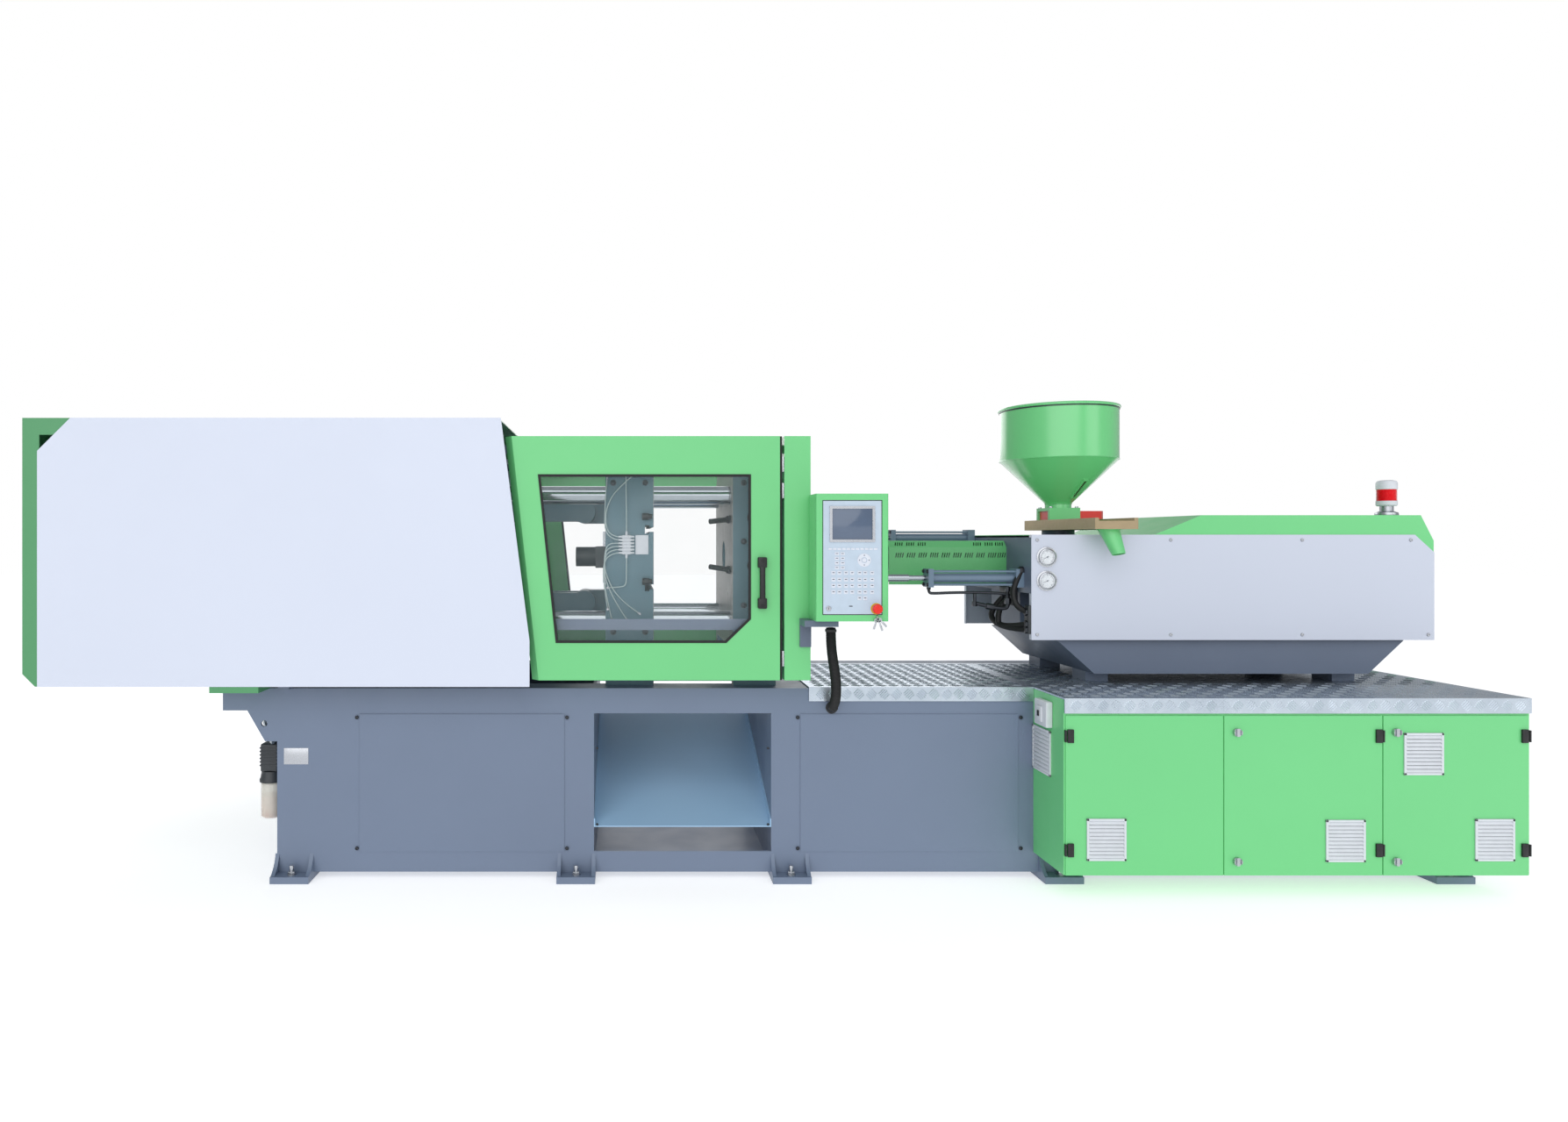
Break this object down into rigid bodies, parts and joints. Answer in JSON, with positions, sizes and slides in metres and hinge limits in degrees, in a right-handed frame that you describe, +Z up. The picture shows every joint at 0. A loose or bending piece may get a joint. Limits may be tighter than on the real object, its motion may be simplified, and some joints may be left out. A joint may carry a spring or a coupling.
{
  "type": "injection moulding machine",
  "caption": "Horizontal toggle-clamp plastic injection moulding machine with sliding guard gates, screw injection unit, hopper, control panel and electrical cabinet.",
  "frame": {"origin": "under the middle of the whole machine's box, on the floor", "axes": "+X from the clamp end to the injection end, +Z up, the operator stands at -Y"},
  "size_m": [5.24, 1.202, 1.785],
  "materials": {
    "bed_grey": "satin",
    "machine_green": "satin",
    "dark_green": "satin",
    "panel_white": "satin",
    "casting_teal": "satin",
    "chute_blue": "satin",
    "steel": "ground",
    "hard_chrome": "polished",
    "dark_steel": "blackened",
    "checker_aluminium": "rolled",
    "fascia_grey": "fine matt",
    "clear_pane": "clear",
    "stop_red": "gloss",
    "shutoff_red": "gloss",
    "zinc_yellow": "zinc plated",
    "lamp": "gloss",
    "black_rubber": "ribbed",
    "black_plastic": "matt",
    "amber_plastic": "translucent"
  },
  "bodies": {
    "machine": {"bed_frame": "bed_grey", "bed_panels": "bed_grey", "product_chute": "chute_blue", "levelling_feet": "bed_grey", "pump_unit": "bed_grey", "stationary_platen": "casting_teal", "tie_bars": "hard_chrome", "tie_bar_nuts": "dark_steel", "clamp_cover_panels": "panel_white", "clamp_cover_shell": "dark_green", "gate_frames": "machine_green", "deck_plates": "checker_aluminium", "cabinet_shell": "machine_green", "cabinet_hinges": "dark_steel", "injection_base": "bed_grey", "pull_in_rods": "hard_chrome", "guard_rod": "steel", "hmi_bracket": "black_plastic", "conduit": "black_rubber", "lubricator": "amber_plastic"},
    "front_gate": {"front_gate": "machine_green", "gate_window": "clear_pane"},
    "rear_gate": {"rear_gate": "machine_green"},
    "end_platen": {"end_platen": "casting_teal", "adjusting_nuts": "dark_steel", "clamp_cylinder": "bed_grey"},
    "crosshead": {"crosshead": "casting_teal"},
    "rear_link_upper": {"rear_link_upper": "casting_teal"},
    "rear_link_lower": {"rear_link_lower": "casting_teal"},
    "front_link_upper": {"front_link_upper": "casting_teal"},
    "front_link_lower": {"front_link_lower": "casting_teal"},
    "crosshead_link_upper": {"crosshead_link_upper": "steel"},
    "crosshead_link_lower": {"crosshead_link_lower": "steel"},
    "moving_platen": {"moving_platen": "casting_teal", "ejector_cylinder": "bed_grey"},
    "ejector": {"ejector_plate": "steel"},
    "injection_carriage": {"carriage": "bed_grey", "barrel": "steel", "barrel_guard": "machine_green", "pull_in_cylinders": "bed_grey", "injection_cover_sides": "panel_white", "injection_cover_top": "machine_green", "beacon": "lamp", "hopper_base": "zinc_yellow", "drain_chute": "machine_green"},
    "injection_beam": {"injection_beam": "bed_grey", "screw_motor": "dark_steel"},
    "screw": {"screw": "steel"},
    "hopper": {"hopper": "machine_green"},
    "shutoff_gate": {"shutoff_gate": "shutoff_red"},
    "control_panel": {"hmi_housing": "machine_green", "hmi_fascia": "fascia_grey"},
    "emergency_stop": {"emergency_stop": "stop_red"},
    "cabinet_door_left": {"cabinet_door_left": "machine_green"},
    "cabinet_door_centre": {"cabinet_door_centre": "machine_green"},
    "cabinet_door_right": {"cabinet_door_right": "machine_green"},
    "door_lock_1": {"door_lock_1": "steel"},
    "door_lock_2": {"door_lock_2": "steel"},
    "door_lock_3": {"door_lock_3": "steel"},
    "door_lock_4": {"door_lock_4": "steel"}
  },
  "joints": [
    {"name": "front_gate_slide", "type": "slide", "parent": "machine", "child": "front_gate", "axis": [-1, 0, 0], "range_m": [0, 0.75]},
    {"name": "rear_gate_slide", "type": "slide", "parent": "machine", "child": "rear_gate", "axis": [-1, 0, 0], "range_m": [0, 0.75]},
    {"name": "die_height_slide", "type": "slide", "parent": "machine", "child": "end_platen", "axis": [1, 0, 0], "range_m": [-0.08, 0.13]},
    {"name": "clamp_stroke", "type": "slide", "parent": "end_platen", "child": "moving_platen", "axis": [-1, 0, 0], "range_m": [0, 0.3417]},
    {"name": "crosshead_stroke", "type": "slide", "parent": "end_platen", "child": "crosshead", "axis": [-1, 0, 0], "range_m": [0, 0.16328]},
    {"name": "rear_link_upper_hinge", "type": "hinge", "parent": "end_platen", "child": "rear_link_upper", "pos_m": [-1.22, 0.071, 1.357], "axis": [0, -1, 0], "range_deg": [0, 85]},
    {"name": "front_link_upper_hinge", "type": "hinge", "parent": "moving_platen", "child": "front_link_upper", "pos_m": [-0.64, 0.071, 1.357], "axis": [0, 1, 0], "range_deg": [0, 49]},
    {"name": "crosshead_link_upper_hinge", "type": "hinge", "parent": "crosshead", "child": "crosshead_link_upper", "pos_m": [-0.90436, 0.071, 1.277], "axis": [0, 1, 0], "range_deg": [0, 30.99]},
    {"name": "rear_link_lower_hinge", "type": "hinge", "parent": "end_platen", "child": "rear_link_lower", "pos_m": [-1.22, 0.071, 0.997], "axis": [0, 1, 0], "range_deg": [0, 85]},
    {"name": "front_link_lower_hinge", "type": "hinge", "parent": "moving_platen", "child": "front_link_lower", "pos_m": [-0.64, 0.071, 0.997], "axis": [0, -1, 0], "range_deg": [0, 49]},
    {"name": "crosshead_link_lower_hinge", "type": "hinge", "parent": "crosshead", "child": "crosshead_link_lower", "pos_m": [-0.90436, 0.071, 1.077], "axis": [0, -1, 0], "range_deg": [0, 30.99]},
    {"name": "ejector_stroke", "type": "slide", "parent": "moving_platen", "child": "ejector", "axis": [1, 0, 0], "range_m": [0, 0.07]},
    {"name": "injection_carriage_slide", "type": "slide", "parent": "machine", "child": "injection_carriage", "axis": [1, 0, 0], "range_m": [-0.06, 0.2]},
    {"name": "injection_stroke", "type": "slide", "parent": "injection_carriage", "child": "injection_beam", "axis": [1, 0, 0], "range_m": [0, 0.16]},
    {"name": "screw_turn", "type": "hinge", "parent": "injection_beam", "child": "screw", "pos_m": [1.74, 0.071, 1.177], "axis": [1, 0, 0], "continuous": true},
    {"name": "hopper_slide", "type": "slide", "parent": "injection_carriage", "child": "hopper", "axis": [0, -1, 0], "range_m": [0, 0.415]},
    {"name": "shutoff_slide", "type": "slide", "parent": "hopper", "child": "shutoff_gate", "axis": [1, 0, 0], "range_m": [0, 0.08]},
    {"name": "control_panel_swivel", "type": "hinge", "parent": "machine", "child": "control_panel", "pos_m": [0.236, -0.501, 1], "axis": [0, 0, 1], "range_deg": [-45, 0]},
    {"name": "emergency_stop_press", "type": "slide", "parent": "control_panel", "child": "emergency_stop", "axis": [0, 1, 0], "range_m": [0, 0.006], "stiffness_N_per_m": 800},
    {"name": "cabinet_door_left_hinge", "type": "hinge", "parent": "machine", "child": "cabinet_door_left", "pos_m": [1.03, -0.5935, 0.4], "axis": [0, 0, -1], "range_deg": [0, 110]},
    {"name": "cabinet_door_centre_hinge", "type": "hinge", "parent": "machine", "child": "cabinet_door_centre", "pos_m": [2.116, -0.5935, 0.4], "axis": [0, 0, 1], "range_deg": [0, 110]},
    {"name": "cabinet_door_right_hinge", "type": "hinge", "parent": "machine", "child": "cabinet_door_right", "pos_m": [2.616, -0.5935, 0.4], "axis": [0, 0, 1], "range_deg": [0, 110]},
    {"name": "door_lock_1_turn", "type": "hinge", "parent": "cabinet_door_centre", "child": "door_lock_1", "pos_m": [1.616, -0.589, 0.147], "axis": [0, 1, 0], "range_deg": [0, 90]},
    {"name": "door_lock_2_turn", "type": "hinge", "parent": "cabinet_door_centre", "child": "door_lock_2", "pos_m": [1.616, -0.589, 0.588], "axis": [0, 1, 0], "range_deg": [0, 90]},
    {"name": "door_lock_3_turn", "type": "hinge", "parent": "cabinet_door_right", "child": "door_lock_3", "pos_m": [2.16, -0.589, 0.147], "axis": [0, 1, 0], "range_deg": [0, 90]},
    {"name": "door_lock_4_turn", "type": "hinge", "parent": "cabinet_door_right", "child": "door_lock_4", "pos_m": [2.16, -0.589, 0.588], "axis": [0, 1, 0], "range_deg": [0, 90]}
  ],
  "couplings": [
    {"joint": "crosshead_stroke", "follows": "clamp_stroke", "ratio": 0.4778},
    {"joint": "rear_link_upper_hinge", "follows": "clamp_stroke", "rad_per_m": 4.3415},
    {"joint": "front_link_upper_hinge", "follows": "clamp_stroke", "rad_per_m": 2.5027},
    {"joint": "crosshead_link_upper_hinge", "follows": "clamp_stroke", "rad_per_m": 1.5831},
    {"joint": "rear_link_lower_hinge", "follows": "clamp_stroke", "rad_per_m": 4.3415},
    {"joint": "front_link_lower_hinge", "follows": "clamp_stroke", "rad_per_m": 2.5027},
    {"joint": "crosshead_link_lower_hinge", "follows": "clamp_stroke", "rad_per_m": 1.5831}
  ]
}
